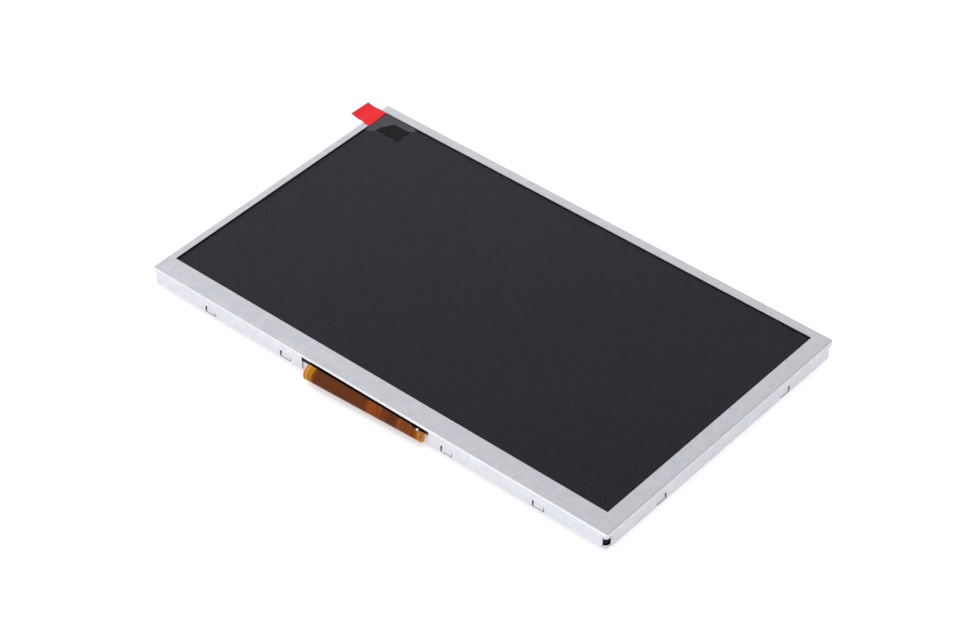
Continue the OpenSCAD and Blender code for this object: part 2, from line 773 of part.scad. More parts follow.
rear_cover();
reflector_sheet();
light_guide();
diffuser_sheet();
lower_prism_sheet();
upper_prism_sheet();
top_diffuser();
led_strip();
leds();
mould_frame();
rim_tape();
bottom_polariser();
tft_glass();
colour_filter_glass();
top_polariser();
left_source_driver();
right_source_driver();
gate_driver();
cushion_gasket();
front_bezel();
display_flex();
flex_tape();
tail_stiffener();
tail_contacts();
large_capacitors();
small_capacitors();
chip_resistors();
diode_arrays();
solder_joints();
cover_tape();
protective_film();
pull_tab();
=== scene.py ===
import bpy
import bmesh
import math
from mathutils import Matrix, Vector


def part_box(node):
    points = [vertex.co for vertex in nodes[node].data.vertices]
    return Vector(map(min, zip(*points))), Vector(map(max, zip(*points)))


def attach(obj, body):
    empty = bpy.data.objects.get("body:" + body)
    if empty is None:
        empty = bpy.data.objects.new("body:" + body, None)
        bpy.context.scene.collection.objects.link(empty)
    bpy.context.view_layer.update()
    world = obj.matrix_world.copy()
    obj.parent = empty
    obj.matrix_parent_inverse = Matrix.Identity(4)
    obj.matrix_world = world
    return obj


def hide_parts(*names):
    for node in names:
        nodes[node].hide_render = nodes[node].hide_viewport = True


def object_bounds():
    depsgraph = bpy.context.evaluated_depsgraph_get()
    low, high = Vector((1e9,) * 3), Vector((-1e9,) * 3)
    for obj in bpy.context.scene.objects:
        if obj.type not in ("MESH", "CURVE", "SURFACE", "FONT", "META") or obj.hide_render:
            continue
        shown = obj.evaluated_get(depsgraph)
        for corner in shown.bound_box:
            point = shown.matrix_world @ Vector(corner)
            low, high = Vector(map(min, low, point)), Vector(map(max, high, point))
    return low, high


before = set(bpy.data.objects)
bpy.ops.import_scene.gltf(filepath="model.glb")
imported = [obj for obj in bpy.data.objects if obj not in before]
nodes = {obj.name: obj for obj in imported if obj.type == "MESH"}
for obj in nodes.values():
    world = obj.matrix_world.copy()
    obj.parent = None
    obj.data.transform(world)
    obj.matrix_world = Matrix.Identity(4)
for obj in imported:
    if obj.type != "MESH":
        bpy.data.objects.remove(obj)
cad_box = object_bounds()
bpy.context.scene.view_settings.view_transform = "Standard"


# Rear cover: a shallow tray pressed from aluminium sheet that closes the back of the module.
# Its skin keeps the fine lines of the rolling mill, with a few scuffs from handling. It clips
# inside the bezel's walls by its snap windows.
MM = 0.001


def paint(red, green, blue):
    """A colour picked from a swatch, 0 to 255, as the shader's own numbers."""
    steps = [value / 255 for value in (red, green, blue)]
    linear = [s / 12.92 if s <= 0.04045 else ((s + 0.055) / 1.055) ** 2.4 for s in steps]
    return (*linear, 1.0)


class Wire:
    """One socket's output. Sums on wires add the Math nodes."""

    def __init__(self, wiring, socket):
        self.wiring = wiring
        self.socket = socket

    def __add__(self, other):
        return self.wiring.combine("ADD", self, other)

    def __radd__(self, other):
        return self.wiring.combine("ADD", other, self)

    def __sub__(self, other):
        return self.wiring.combine("SUBTRACT", self, other)

    def __rsub__(self, other):
        return self.wiring.combine("SUBTRACT", other, self)

    def __mul__(self, other):
        return self.wiring.combine("MULTIPLY", self, other)

    def __rmul__(self, other):
        return self.wiring.combine("MULTIPLY", other, self)


class Wiring:
    """The nodes of one finish or of the room's light."""

    def __init__(self, tree):
        self.tree = tree

    def feed(self, node, sockets):
        """Sets a node's sockets, each to a value or to a wire."""
        for name, value in sockets.items():
            if isinstance(value, Wire):
                self.tree.links.new(value.socket, node.inputs[name])
            else:
                node.inputs[name].default_value = value

    def add(self, kind, settings, sockets, out):
        """Adds a node: its settings first, then its sockets' values or wires."""
        node = self.tree.nodes.new(kind)
        for name, value in settings.items():
            if name == "stops":
                ramp = node.color_ramp.elements
                while len(ramp) < len(value):
                    ramp.new(1.0)
                for stop, (place, colour) in zip(ramp, value):
                    stop.position = place
                    stop.color = colour
            else:
                setattr(node, name, value)
        self.feed(node, sockets)
        return Wire(self, node.outputs[out])

    def combine(self, operation, first, second):
        return self.add("ShaderNodeMath", {"operation": operation}, {0: first, 1: second}, 0)

    def band(self, value, low, high, to_low=0.0, to_high=1.0):
        """Spreads the range low to high of a value over to_low to to_high, eased at its ends."""
        settings = {"interpolation_type": "SMOOTHSTEP"}
        sockets = {"Value": value, "From Min": low, "From Max": high,
                   "To Min": to_low, "To Max": to_high}
        return self.add("ShaderNodeMapRange", settings, sockets, 0)


class Finish(Wiring):
    """A procedural finish, wired round one Principled shader."""

    def __init__(self, name, **constants):
        self.material = bpy.data.materials.new(name)
        self.material.use_nodes = True
        super().__init__(self.material.node_tree)
        self.shader = self.tree.nodes["Principled BSDF"]
        self.show(**constants)

    def place(self, turn=0.0, stretch=(1, 1, 1), shift=(0, 0, 0)):
        """The point on the piece, turned about Z, stretched and shifted."""
        point = self.add("ShaderNodeTexCoord", {}, {}, "Object")
        settings = {"vector_type": "POINT"}
        sockets = {"Vector": point, "Rotation": (0, 0, turn), "Scale": stretch,
                   "Location": shift}
        return self.add("ShaderNodeMapping", settings, sockets, 0)

    def noise(self, where, scale=1.0, detail=3.0, rough=0.55):
        sockets = {"Vector": where, "Scale": scale, "Detail": detail, "Roughness": rough}
        return self.add("ShaderNodeTexNoise", {}, sockets, "Fac")

    def blend(self, share, first, second):
        """first where share is 0, second where it is 1."""
        settings = {"data_type": "RGBA"}
        return self.add("ShaderNodeMix", settings, {0: share, 6: first, 7: second}, 2)

    def bump(self, height, depth, strength=0.3):
        sockets = {"Height": height, "Distance": depth, "Strength": strength}
        return self.add("ShaderNodeBump", {}, sockets, 0)

    def show(self, **channels):
        """Gives the shader its colour, roughness and so on, as values or wires."""
        self.feed(self.shader, {key.replace("_", " "): v for key, v in channels.items()})

    def coat(self, *pieces):
        """Makes this the only finish of each piece."""
        for piece in pieces:
            piece.data.materials.clear()
            piece.data.materials.append(self.material)


def sheet_metal(name, pale, cool, warm, roughness):
    """Bare sheet metal: cloudy plating, rolling lines, fine pits and a few rubbed marks."""
    metal = Finish(name, Metallic=1.0)
    clouds = metal.noise(metal.place(), scale=360.0, detail=4.0, rough=0.6)
    patches = metal.noise(metal.place(shift=(0.3, 0.1, 0.2)), scale=150.0)
    lines = metal.noise(metal.place(stretch=(90, 2200, 2200)))
    pits = metal.noise(metal.place(), scale=2800.0, detail=2.0)
    scuffs = metal.noise(metal.place(turn=0.6, stretch=(900, 140, 400)))
    rubbed = metal.band(scuffs, 0.64, 0.7)
    tint = metal.blend(metal.band(clouds, 0.38, 0.6), pale, cool)
    tint = metal.blend(metal.band(patches, 0.46, 0.66, 0.0, 0.8), tint, warm)
    grain = metal.band(lines * 0.4 + pits * 0.6, 0.34, 0.66, 0.0, 0.16)
    grain_grey = paint(168, 170, 178)
    metal.show(
        Base_Color=metal.blend(grain, tint, grain_grey),
        Roughness=roughness + (clouds - 0.5) * 0.2 + rubbed * 0.1,
        Normal=metal.bump(lines * 0.4 + pits * 0.8, depth=0.02 * MM),
    )
    return metal


cover_finish = sheet_metal(
    "rolled aluminium", pale=paint(226, 227, 231), cool=paint(219, 221, 226),
    warm=paint(223, 222, 225), roughness=0.42)
cover_finish.coat(nodes["rear_cover"])


# Backlight: a white reflector sheet, a clear acrylic light guide with printed dots, a diffuser,
# two prism films and a top diffuser, stacked loose in the tray with ears in the frame's notches.
def grained(name, dull, bright, scale=1.0, stretch=(1, 1, 1), depth=0.0, strength=0.3,
            roughness=(), **constants):
    """A finish with one grain that runs from a dull swatch to a bright one, and where they
    are given also raises the surface by a depth and changes how rough it is."""
    finish = Finish(name, **constants)
    grain = finish.noise(finish.place(stretch=stretch), scale)
    finish.show(Base_Color=finish.blend(grain, paint(*dull), paint(*bright)))
    if depth:
        finish.show(Normal=finish.bump(grain, depth, strength))
    if roughness:
        finish.show(Roughness=finish.band(grain, 0.3, 0.7, *roughness))
    return finish


reflector = grained("white reflector film", (236, 237, 236), (247, 248, 247), scale=400.0,
                    depth=0.03 * MM, Roughness=0.35)
reflector.coat(nodes["reflector_sheet"])

guide = Finish("clear acrylic", IOR=1.49)
guide_dots = guide.add(
    "ShaderNodeTexVoronoi", {"feature": "F1"},
    {"Vector": guide.place(), "Scale": 1300.0, "Randomness": 0.25}, "Distance")
between_dots = guide.band(guide_dots, 0.2, 0.32)
guide.show(
    Base_Color=guide.blend(between_dots, paint(244, 247, 246), paint(214, 226, 224)),
    Roughness=guide.band(between_dots, 0.0, 1.0, 0.35, 0.08),
)
guide.coat(nodes["light_guide"])

optical = Finish("frosted optical film")
frost = optical.noise(optical.place(), scale=5200.0, detail=2.0)
prism_lines = optical.noise(optical.place(stretch=(30, 14000, 30)), detail=1.0)
optical.show(
    Base_Color=optical.blend(frost, paint(226, 229, 230), paint(243, 244, 243)),
    Roughness=optical.band(frost, 0.3, 0.7, 0.42, 0.6),
    Normal=optical.bump(prism_lines + frost * 0.4, depth=0.01 * MM, strength=0.5),
)
optical.coat(nodes["diffuser_sheet"], nodes["lower_prism_sheet"], nodes["upper_prism_sheet"],
             nodes["top_diffuser"])


# Light strip: white lamps in moulded cups, soldered along a flexible strip in the frame's
# side channel. Their lenses are pale yellow from the phosphor.
strip_film = grained("white faced light strip", (222, 222, 214), (240, 240, 234), scale=900.0,
                     depth=0.02 * MM, Roughness=0.5)
strip_film.coat(nodes["led_strip"])

lamp_case = grained("lamp case and phosphor", (238, 228, 168), (244, 243, 232), scale=3000.0,
                    depth=0.01 * MM, Roughness=0.45)
lamp_case.coat(nodes["leds"])


# Moulded frame: black glass-filled plastic that carries the sheets and the cell. Its skin is
# matt, with the mould's fine spark grain.
plastic = Finish("black moulded plastic", Specular_IOR_Level=0.2)
spark_grain = plastic.noise(plastic.place(), scale=4200.0, detail=2.0)
flow = plastic.noise(plastic.place(stretch=(90, 260, 260)))
plastic.show(
    Base_Color=plastic.blend(flow, paint(14, 14, 15), paint(24, 24, 25)),
    Roughness=plastic.band(spark_grain, 0.3, 0.7, 0.38, 0.58),
    Normal=plastic.bump(spark_grain, depth=0.03 * MM, strength=0.5),
)
plastic.coat(nodes["mould_frame"])


# Rim tape and cushion gasket: black double-sided tape with a woven face under the cell, and a
# thin strip of black foam with open cells between the cell and the bezel.
foam = Finish("black foam", Roughness=0.85)
foam_cells = foam.add(
    "ShaderNodeTexVoronoi", {"feature": "F1"},
    {"Vector": foam.place(), "Scale": 5200.0}, "Distance")
foam.show(
    Base_Color=foam.blend(foam_cells, paint(11, 11, 12), paint(26, 26, 27)),
    Normal=foam.bump(foam_cells, depth=0.05 * MM, strength=0.7),
)
foam.coat(nodes["cushion_gasket"])

tape = grained("black tape", (16, 16, 17), (30, 30, 31), stretch=(500, 4000, 4000),
               depth=0.02 * MM, strength=0.4, Roughness=0.6)
tape.coat(nodes["rim_tape"])


# Cell: two sheets of thin glass, green at their cut edges, with a polariser film bonded on
# each outer face. The front one is dark, with a soft anti-glare skin.
glass = grained("display glass", (30, 44, 41), (62, 86, 80), stretch=(300, 300, 5000),
                IOR=1.52, Roughness=0.06)
glass.coat(nodes["tft_glass"], nodes["colour_filter_glass"])

polariser = Finish("anti-glare polariser", Specular_IOR_Level=0.28)
haze_grain = polariser.noise(polariser.place(), scale=6500.0, detail=2.0)
haze_cloud = polariser.noise(polariser.place(), scale=45.0, detail=2.0)
dust = polariser.noise(polariser.place(), scale=620.0, detail=1.0)
specks = polariser.band(dust, 0.8, 0.82)
dark_skin = polariser.blend(haze_cloud, paint(8, 6, 22), paint(11, 9, 26))
polariser.show(
    Base_Color=polariser.blend(specks, dark_skin, paint(40, 40, 44)),
    Roughness=polariser.band(haze_grain, 0.3, 0.7, 0.24, 0.32),
    Normal=polariser.bump(haze_grain, depth=0.003 * MM, strength=0.15),
)
polariser.coat(nodes["top_polariser"], nodes["bottom_polariser"])


# Drivers: bare slivers of silicon that switch the panel's rows and columns, with the fine
# lines of the dicing saw. They are bonded face down on the glass ledge.
silicon = grained("bare silicon", (72, 74, 84), (104, 107, 118), stretch=(3000, 200, 200),
                  roughness=(0.16, 0.3), Metallic=0.6)
silicon.coat(nodes["left_source_driver"], nodes["right_source_driver"], nodes["gate_driver"])


# Front bezel: a frame pressed from bright plated steel sheet and folded down all round, which
# snaps over the tray's hooks. Its plating is pale and faintly cloudy, with a near white painted
# highlight in a band of height along the folds.
FOLD_HIGHLIGHT_SETS_IN = (5.45 * MM, 5.65 * MM)
FOLD_HIGHLIGHT_ENDS = (5.84 * MM, 5.89 * MM)


def measure(wiring, point, axis):
    """How far a point lies along X, Y or Z."""
    return wiring.add("ShaderNodeSeparateXYZ", {}, {"Vector": point}, axis)


bezel_finish = sheet_metal(
    "plated steel", pale=paint(233, 233, 239), cool=paint(223, 226, 233),
    warm=paint(231, 228, 234), roughness=0.4)
rise = measure(bezel_finish, bezel_finish.place(), "Z")
# Painted highlight: a band of height just under the top face, round the folds, is painted near
# white.
painted_fold_highlight = (bezel_finish.band(rise, *FOLD_HIGHLIGHT_SETS_IN)
             * bezel_finish.band(rise, *FOLD_HIGHLIGHT_ENDS, 1.0, 0.0))
plating = Wire(bezel_finish, bezel_finish.shader.inputs["Base Color"].links[0].from_socket)
bezel_finish.show(Base_Color=bezel_finish.blend(painted_fold_highlight, plating, paint(253, 253, 254)))
bezel_finish.coat(nodes["front_bezel"])


# Display circuit: a strip of polyimide film, copper traces etched on it under an amber
# coverlay. It is bonded to the cell's near ledge and folds round the near side. The bare
# ends glow amber, the wide copper reads dark brown, and fine traces run round the fold. A black
# band of painted shade lies along the top of the fold, and a small white painted glint near its
# right end.
FOLD_TURN = math.radians(2.5)
FOLD_MIDDLE = Vector((-1.05 * MM, -49.53 * MM, 2.225 * MM))
FOLD_OUT = 2.545 * MM
CIRCUIT_W = 40.7 * MM
CIRCUIT_T = 0.12 * MM
SLOT_Y = -50.0 * MM
SLOT_Z = 5.9 * MM
GLINT_R = 0.42 * MM
GAP_BROWN = paint(84, 36, 12)
CREST_AMBER = paint(198, 110, 44)
SLOT_SHADE_BLACK = paint(15, 13, 13)
GLINT_WHITE = paint(236, 226, 218)
EDGE_SWAY = 0.006
EDGE_LEAN = 8.0
SLOT_SHADE_SLOPE_Y = 0.66
SLOT_SHADE_SLOPE_Z = 0.57
# Each tone of the copper, after its place as a share of the circuit's width from the left.
TRACE_PLAN = [
    (0.0, (208, 132, 44)), (0.012, (214, 124, 26)), (0.026, (234, 168, 66)),
    (0.034, (112, 44, 12)), (0.042, (232, 162, 64)), (0.05, (104, 44, 10)),
    (0.058, (222, 158, 56)), (0.068, (122, 68, 10)), (0.079, (132, 78, 22)),
    (0.088, (106, 56, 26)), (0.1, (103, 54, 28)), (0.53, (104, 53, 26)),
    (0.56, (148, 70, 29)), (0.62, (151, 72, 31)), (0.635, (118, 54, 13)),
    (0.65, (138, 78, 42)), (0.67, (106, 51, 18)), (0.69, (104, 54, 29)),
    (0.715, (99, 51, 22)), (0.78, (97, 51, 31)),
    (0.8, (108, 58, 22)), (0.815, (153, 74, 33)), (0.832, (145, 74, 38)),
    (0.84, (118, 56, 25)), (0.85, (131, 66, 35)), (0.875, (109, 51, 22)),
    (0.905, (134, 70, 36)), (0.93, (110, 54, 20)), (0.95, (140, 68, 24)),
    (0.972, (178, 100, 28)), (0.985, (214, 144, 44)), (1.0, (226, 168, 84))]


def on_fold(along, angle):
    """The point of the fold's outer face at a place along it, at an angle up from level."""
    run = Vector((math.cos(FOLD_TURN), math.sin(FOLD_TURN), 0))
    out = Vector((math.sin(FOLD_TURN), -math.cos(FOLD_TURN), 0))
    up = Vector((0, 0, 1))
    round_fold = out * math.cos(math.radians(angle)) + up * math.sin(math.radians(angle))
    return FOLD_MIDDLE + run * along + round_fold * FOLD_OUT


circuit = Finish("amber polyimide with traces, painted shade and glint", Specular_IOR_Level=0.04)
turned = circuit.place(turn=-FOLD_TURN)
height = measure(circuit, turned, "Z")
left_end = on_fold(-CIRCUIT_W / 2, 0.0)
left_edge = left_end.x * math.cos(FOLD_TURN) + left_end.y * math.sin(FOLD_TURN)
share = (measure(circuit, turned, "X") - left_edge) * (1 / CIRCUIT_W)
weave = circuit.noise(circuit.place(), scale=520.0)
wide_copper_edge = circuit.band(share, 0.5, 0.62) * circuit.band(share, 0.62, 0.66, 1.0, 0.0)
leaning = wide_copper_edge * (height - 3.0 * MM) * EDGE_LEAN
sway = share + (weave - 0.5) * EDGE_SWAY + leaning
copper_plan = circuit.add(
    "ShaderNodeValToRGB", {"stops": [(at, paint(*tone)) for at, tone in TRACE_PLAN]},
    {0: sway}, 0)
traces = circuit.add(
    "ShaderNodeTexWave", {"wave_type": "BANDS", "bands_direction": "X"},
    {"Vector": turned, "Scale": 500.0, "Distortion": 0.8, "Detail": 1.0,
     "Detail Scale": 400.0}, "Fac")
fine_part = (circuit.band(share, 0.83, 0.86)
             + circuit.band(share, 0.62, 0.64) * circuit.band(share, 0.71, 0.73, 0.7, 0.0))
gaps = circuit.band(traces, 0.5, 0.2) * fine_part * 0.6
crests = circuit.band(traces, 0.6, 0.95) * fine_part * 0.5
inked = circuit.blend(gaps, copper_plan, GAP_BROWN)
inked = circuit.blend(crests, inked, CREST_AMBER)
outward = measure(circuit, circuit.place(), "Y")
# Painted shade: the top of the fold, under the slot's edge, is painted black where the slot's
# shadow falls, reaching further down at the right end.
under_slot = (outward - SLOT_Y) * SLOT_SHADE_SLOPE_Y + (height - SLOT_Z) * SLOT_SHADE_SLOPE_Z
shade_from = circuit.band(share, 0.905, 0.93, -0.92 * MM, -1.18 * MM)
painted_slot_shade = (circuit.band(under_slot - shade_from, -0.05 * MM, 0.05 * MM)
          * circuit.band(height, 2.2 * MM, 2.8 * MM))
inked = circuit.blend(painted_slot_shade, inked, SLOT_SHADE_BLACK)
# Painted glint: a small white spot painted on the fold near its right end.
from_glint = circuit.add(
    "ShaderNodeVectorMath", {"operation": "DISTANCE"},
    {0: circuit.place(), 1: tuple(on_fold(18.9 * MM, 51.0))}, "Value")
painted_glint = circuit.band(from_glint, 0.8 * GLINT_R, GLINT_R, 1.0, 0.0)
circuit.show(
    Base_Color=circuit.blend(painted_glint, inked, GLINT_WHITE),
    Roughness=circuit.band(weave, 0.3, 0.7, 0.3, 0.42),
    Normal=circuit.bump(traces * fine_part + weave * 0.3, depth=0.04 * MM, strength=0.4),
)
circuit.coat(nodes["display_flex"])

# Inside the fold the film is bare amber, and its faces there are given a painted glow, an
# emission that stands in for light coming through the film.
bare_side_painted_glow = grained(
    "bare side of the polyimide with painted glow", (214, 142, 48), (232, 166, 74), scale=900.0,
    depth=0.02 * MM, Specular_IOR_Level=0.1, Roughness=0.35,
    Emission_Color=(0.66, 0.27, 0.03, 1.0), Emission_Strength=0.5)
nodes["display_flex"].data.materials.append(bare_side_painted_glow.material)
out_of_fold = (on_fold(0.0, 0.0) - FOLD_MIDDLE) / FOLD_OUT
for face in nodes["display_flex"].data.polygons:
    from_middle = face.center - FOLD_MIDDLE
    reach = math.hypot(max(from_middle.dot(out_of_fold), 0.0), from_middle.z)
    along_run = abs(from_middle.x * math.cos(FOLD_TURN))
    inside = reach < FOLD_OUT - CIRCUIT_T / 2
    face.material_index = int(inside and along_run < 0.49 * CIRCUIT_W)


# Tail: white tape holds the folded circuit to the tray, a clear amber stiffener backs its
# end, and bare gold contacts reach to the edge.
holding = grained("white holding tape", (224, 223, 217), (238, 238, 233),
                  stretch=(900, 2600, 900), depth=0.03 * MM, strength=0.4, Roughness=0.55)
holding.coat(nodes["flex_tape"])

stiffener = grained("amber stiffener", (172, 104, 34), (198, 128, 48),
                    stretch=(400, 1600, 400), depth=0.02 * MM, Roughness=0.25)
stiffener.coat(nodes["tail_stiffener"])

gold = grained("gold flash", (214, 170, 84), (240, 203, 122), stretch=(2600, 260, 2600),
               roughness=(0.22, 0.4), Metallic=1.0)
gold.coat(nodes["tail_contacts"])


# Soldered parts: ceramic capacitors and resistors with tinned ends, and two small moulded
# diode packages on three bent leads, all held to the circuit by their solder.
PART_TURN = 2 * FOLD_TURN
X_AXIS = 0
Y_AXIS = 1
MICRONS = 1e6
tin = grained("tinned ends", (178, 179, 180), (216, 217, 218), scale=3200.0,
              depth=0.02 * MM, strength=0.4, roughness=(0.26, 0.44), Metallic=1.0)


def separate_parts(piece):
    """The faces of each separate part in a node, found by the corners that they share."""
    leader = {}

    def lead(corner):
        while leader.setdefault(corner, corner) != corner:
            corner = leader[corner]
        return corner

    keys = [tuple(round(value * MICRONS) for value in point.co)
            for point in piece.data.vertices]
    for face in piece.data.polygons:
        for corner in face.vertices[1:]:
            leader[lead(keys[corner])] = lead(keys[face.vertices[0]])
    parts = {}
    for face in piece.data.polygons:
        parts.setdefault(lead(keys[face.vertices[0]]), []).append(face)
    return list(parts.values())


def tin_ends(piece, axis, beyond):
    """Tins the faces of each part that lie further out from its middle than a distance."""
    piece.data.materials.append(tin.material)
    square = Matrix.Rotation(-PART_TURN, 3, "Z")
    for faces in separate_parts(piece):
        places = [(square @ piece.data.vertices[corner].co)[axis]
                  for face in faces for corner in face.vertices]
        middle = (min(places) + max(places)) / 2
        for face in faces:
            face.material_index = int(abs((square @ face.center)[axis] - middle) > beyond)


ceramic = grained("tan ceramic", (150, 118, 86), (178, 146, 110), scale=5000.0,
                  depth=0.01 * MM, strength=0.4, Roughness=0.5)
ceramic.coat(nodes["large_capacitors"], nodes["small_capacitors"])
tin_ends(nodes["large_capacitors"], X_AXIS, beyond=0.49 * MM)
tin_ends(nodes["small_capacitors"], X_AXIS, beyond=0.24 * MM)

thick_film = grained("black glazed ceramic", (24, 25, 28), (44, 45, 50), scale=4000.0,
                     depth=0.01 * MM, Roughness=0.3)
thick_film.coat(nodes["chip_resistors"])
tin_ends(nodes["chip_resistors"], X_AXIS, beyond=0.24 * MM)

epoxy = grained("black moulded package", (22, 22, 23), (40, 40, 41), scale=6000.0,
                depth=0.01 * MM, strength=0.5, Roughness=0.5)
epoxy.coat(nodes["diode_arrays"])
tin_ends(nodes["diode_arrays"], Y_AXIS, beyond=0.66 * MM)

solder = grained("bright solder", (176, 178, 180), (214, 216, 218), scale=2600.0,
                 depth=0.03 * MM, strength=0.5, roughness=(0.2, 0.42), Metallic=1.0)
solder.coat(nodes["solder_joints"])

cover_tape = grained("amber cover tape", (190, 118, 36), (212, 142, 56),
                     stretch=(600, 2200, 600), depth=0.04 * MM, strength=0.5, Roughness=0.28)
cover_tape.coat(nodes["cover_tape"])


# Protective film: thin clear film over the whole window. Its far left corner has been
# lifted by the pull tab, so air lies under it there, up to a wavy line where it still clings
# to the panel. Over the lifted part a grey, partly see-through tint is a painted reflection
# that makes it show paler.
film_low, film_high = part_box("protective_film")
tab_low, tab_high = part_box("pull_tab")
CLEARANCE = 0.01 * MM
HAIR = 0.001 * MM
FILM_T = 0.06 * MM
FILM_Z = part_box("top_polariser")[1].z + CLEARANCE
GRID_RIGHT = -65.6 * MM
GRID_NEAR = 35.3 * MM
AIR_GAP = 0.03 * MM
GAP_REACHED = 2.0 * MM
CLIMB = (0.1 * MM, 1.6 * MM)
LEFT_CURL = (76.9 * MM, 79.5 * MM)
FAR_CURL = (44.7 * MM, 46.2 * MM)
SMOOTH_BELOW = math.radians(35)
LIFT_LINE = [(x * MM, y * MM) for x, y in (
    (-80.6, 36.7), (-79.0, 36.8), (-77.85, 37.55), (-77.3, 38.5), (-77.15, 39.2),
    (-77.1, 40.0), (-76.6, 41.35), (-75.65, 42.5), (-75.1, 43.75), (-74.05, 44.35),
    (-72.5, 44.4), (-70.95, 44.4), (-69.85, 44.55), (-68.65, 44.8), (-67.9, 45.55),
    (-67.65, 46.25), (-67.7, 47.0))]
PAST_CORNER = (-81.0 * MM, 47.0 * MM)


def pick_edges(piece, test):
    """In edit mode, selects the edges whose middle passes a test, and nothing else."""
    bpy.ops.mesh.select_mode(type="EDGE")
    bpy.ops.mesh.select_all(action="DESELECT")
    mesh = bmesh.from_edit_mesh(piece.data)
    for edge in mesh.edges:
        edge.select_set(test((edge.verts[0].co + edge.verts[1].co) / 2))
    mesh.select_flush_mode()
    bmesh.update_edit_mesh(piece.data)


def plate(name, low, high, cuts):
    """A flat plate between two corners, cut into squares and left in edit mode."""
    bpy.ops.object.select_all(action="DESELECT")
    bpy.ops.mesh.primitive_grid_add(
        x_subdivisions=cuts[0], y_subdivisions=cuts[1], size=1.0, location=(0, 0, 0))
    piece = bpy.context.object
    piece.name = name
    piece.data.name = name
    bpy.ops.object.mode_set(mode="EDIT")
    bpy.ops.transform.resize(value=(high[0] - low[0], high[1] - low[1], 1.0))
    bpy.ops.transform.translate(value=(Vector(low) + Vector(high)) / 2)
    return piece


def thicken(piece, thickness):
    """Gives a sheet its thickness, upwards, and smooths its faces but not its rim."""
    bpy.ops.object.mode_set(mode="OBJECT")
    wall = piece.modifiers.new("thickness", "SOLIDIFY")
    wall.thickness = thickness
    wall.offset = 1.0
    bpy.ops.object.modifier_apply(modifier=wall.name)
    bpy.ops.object.shade_smooth_by_angle(angle=SMOOTH_BELOW)


def into_air(x, y):
    """How far a point of the film lies past the wavy line, on the lifted side."""
    point = Vector((x, y))
    nearest = 1.0
    crossings = 0
    ring = LIFT_LINE + [PAST_CORNER]
    for index, (start, end) in enumerate(zip(ring, ring[1:] + ring[:1])):
        start, end = Vector(start), Vector(end)
        run = end - start
        if index < len(LIFT_LINE) - 1:
            along = min(max((point - start).dot(run) / run.length_squared, 0.0), 1.0)
            nearest = min(nearest, (point - start - run * along).length)
        if (start.y > y) != (end.y > y):
            crossings += x < start.x + run.x * (y - start.y) / run.y
    return nearest if crossings % 2 else -nearest


def ease(value, low, high):
    """0 up to low and 1 from high on, with a soft rise between them."""
    done = min(max((value - low) / (high - low), 0.0), 1.0)
    return done * done * (3 - 2 * done)


def film_rise(x, y):
    """How far the film's lower face stands off the panel: a hair over the lifted part, and up
    to the tab along the two outer edges."""
    depth = into_air(x, y)
    gentle = AIR_GAP * ease(depth, 0.0, GAP_REACHED)
    outward = max(ease(-x, *LEFT_CURL), ease(y, *FAR_CURL))
    climb = outward * ease(depth, *CLIMB)
    return gentle + climb * (tab_low.z - FILM_T - FILM_Z - AIR_GAP)


film = plate("protective_film_lifted", (film_low.x, GRID_NEAR, FILM_Z),
             (GRID_RIGHT, film_high.y, FILM_Z), cuts=(84, 66))
pick_edges(film, lambda place: place.x > GRID_RIGHT - HAIR)
bpy.ops.mesh.extrude_region_move(
    TRANSFORM_OT_translate={"value": (film_high.x - GRID_RIGHT, 0, 0)})
pick_edges(film, lambda place: place.y < GRID_NEAR + HAIR)
bpy.ops.mesh.extrude_region_move(
    TRANSFORM_OT_translate={"value": (0, film_low.y - GRID_NEAR, 0)})
bpy.ops.mesh.select_all(action="SELECT")
bpy.ops.mesh.normals_make_consistent(inside=False)
bpy.ops.object.mode_set(mode="OBJECT")
lifted = film.data.attributes.new("lifted", "FLOAT", "POINT")
for point, amount in zip(film.data.vertices, lifted.data):
    amount.value = ease(into_air(point.co.x, point.co.y), -0.12 * MM, 0.12 * MM)
    point.co.z += film_rise(point.co.x, point.co.y)
thicken(film, FILM_T)

# Painted reflection: a grey tint, partly see-through, over the lifted part only.
clear = Finish("clear lifted film with painted reflection", Specular_IOR_Level=0.3)
painted_reflection_share = clear.add("ShaderNodeAttribute", {"attribute_name": "lifted"}, {}, "Fac")
ripple = clear.noise(clear.place(turn=0.5, stretch=(300, 120, 300)))
clear.show(
    Base_Color=clear.blend(ripple, paint(98, 96, 105), paint(110, 108, 116)),
    Roughness=clear.band(ripple, 0.3, 0.7, 0.2, 0.3),
    Alpha=painted_reflection_share * clear.band(ripple, 0.3, 0.7, 0.34, 0.4),
)
clear.coat(film)
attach(film, "root")
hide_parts("protective_film")


# Pull tab: a short strip of red tape stuck to the film's corner and left free over the
# bezel's edge. Under its end a dark, mostly opaque patch lies flat on the film, fading out at
# its right and near edges and where the film lifts.
FOOT_LOW = Vector((-77.0 * MM, 38.8 * MM, FILM_Z))
FOOT_HIGH = Vector((-68.3 * MM, 44.2 * MM, FILM_Z))
FOOT_T = 0.04 * MM
FOOT_FADE = 0.9 * MM
NEAR_FADE_RATE = 1.3
TAB_FREE = (Vector((-87.85, 39.4, 0)) * MM, Vector((-87.7, 46.85, 0)) * MM)
TAB_STUCK = (Vector((-79.65, 38.45, 0)) * MM, Vector((-79.95, 46.5, 0)) * MM)
TAB_SAG = 0.2 * MM
SAG_STARTS = (0.05, 0.25)
SAG_ENDS = (0.42, 0.62)
foot = plate("pull_tab_foot", FOOT_LOW, FOOT_HIGH, cuts=(58, 36))
bpy.ops.object.mode_set(mode="OBJECT")
firm = foot.data.attributes.new("firm", "FLOAT", "POINT")
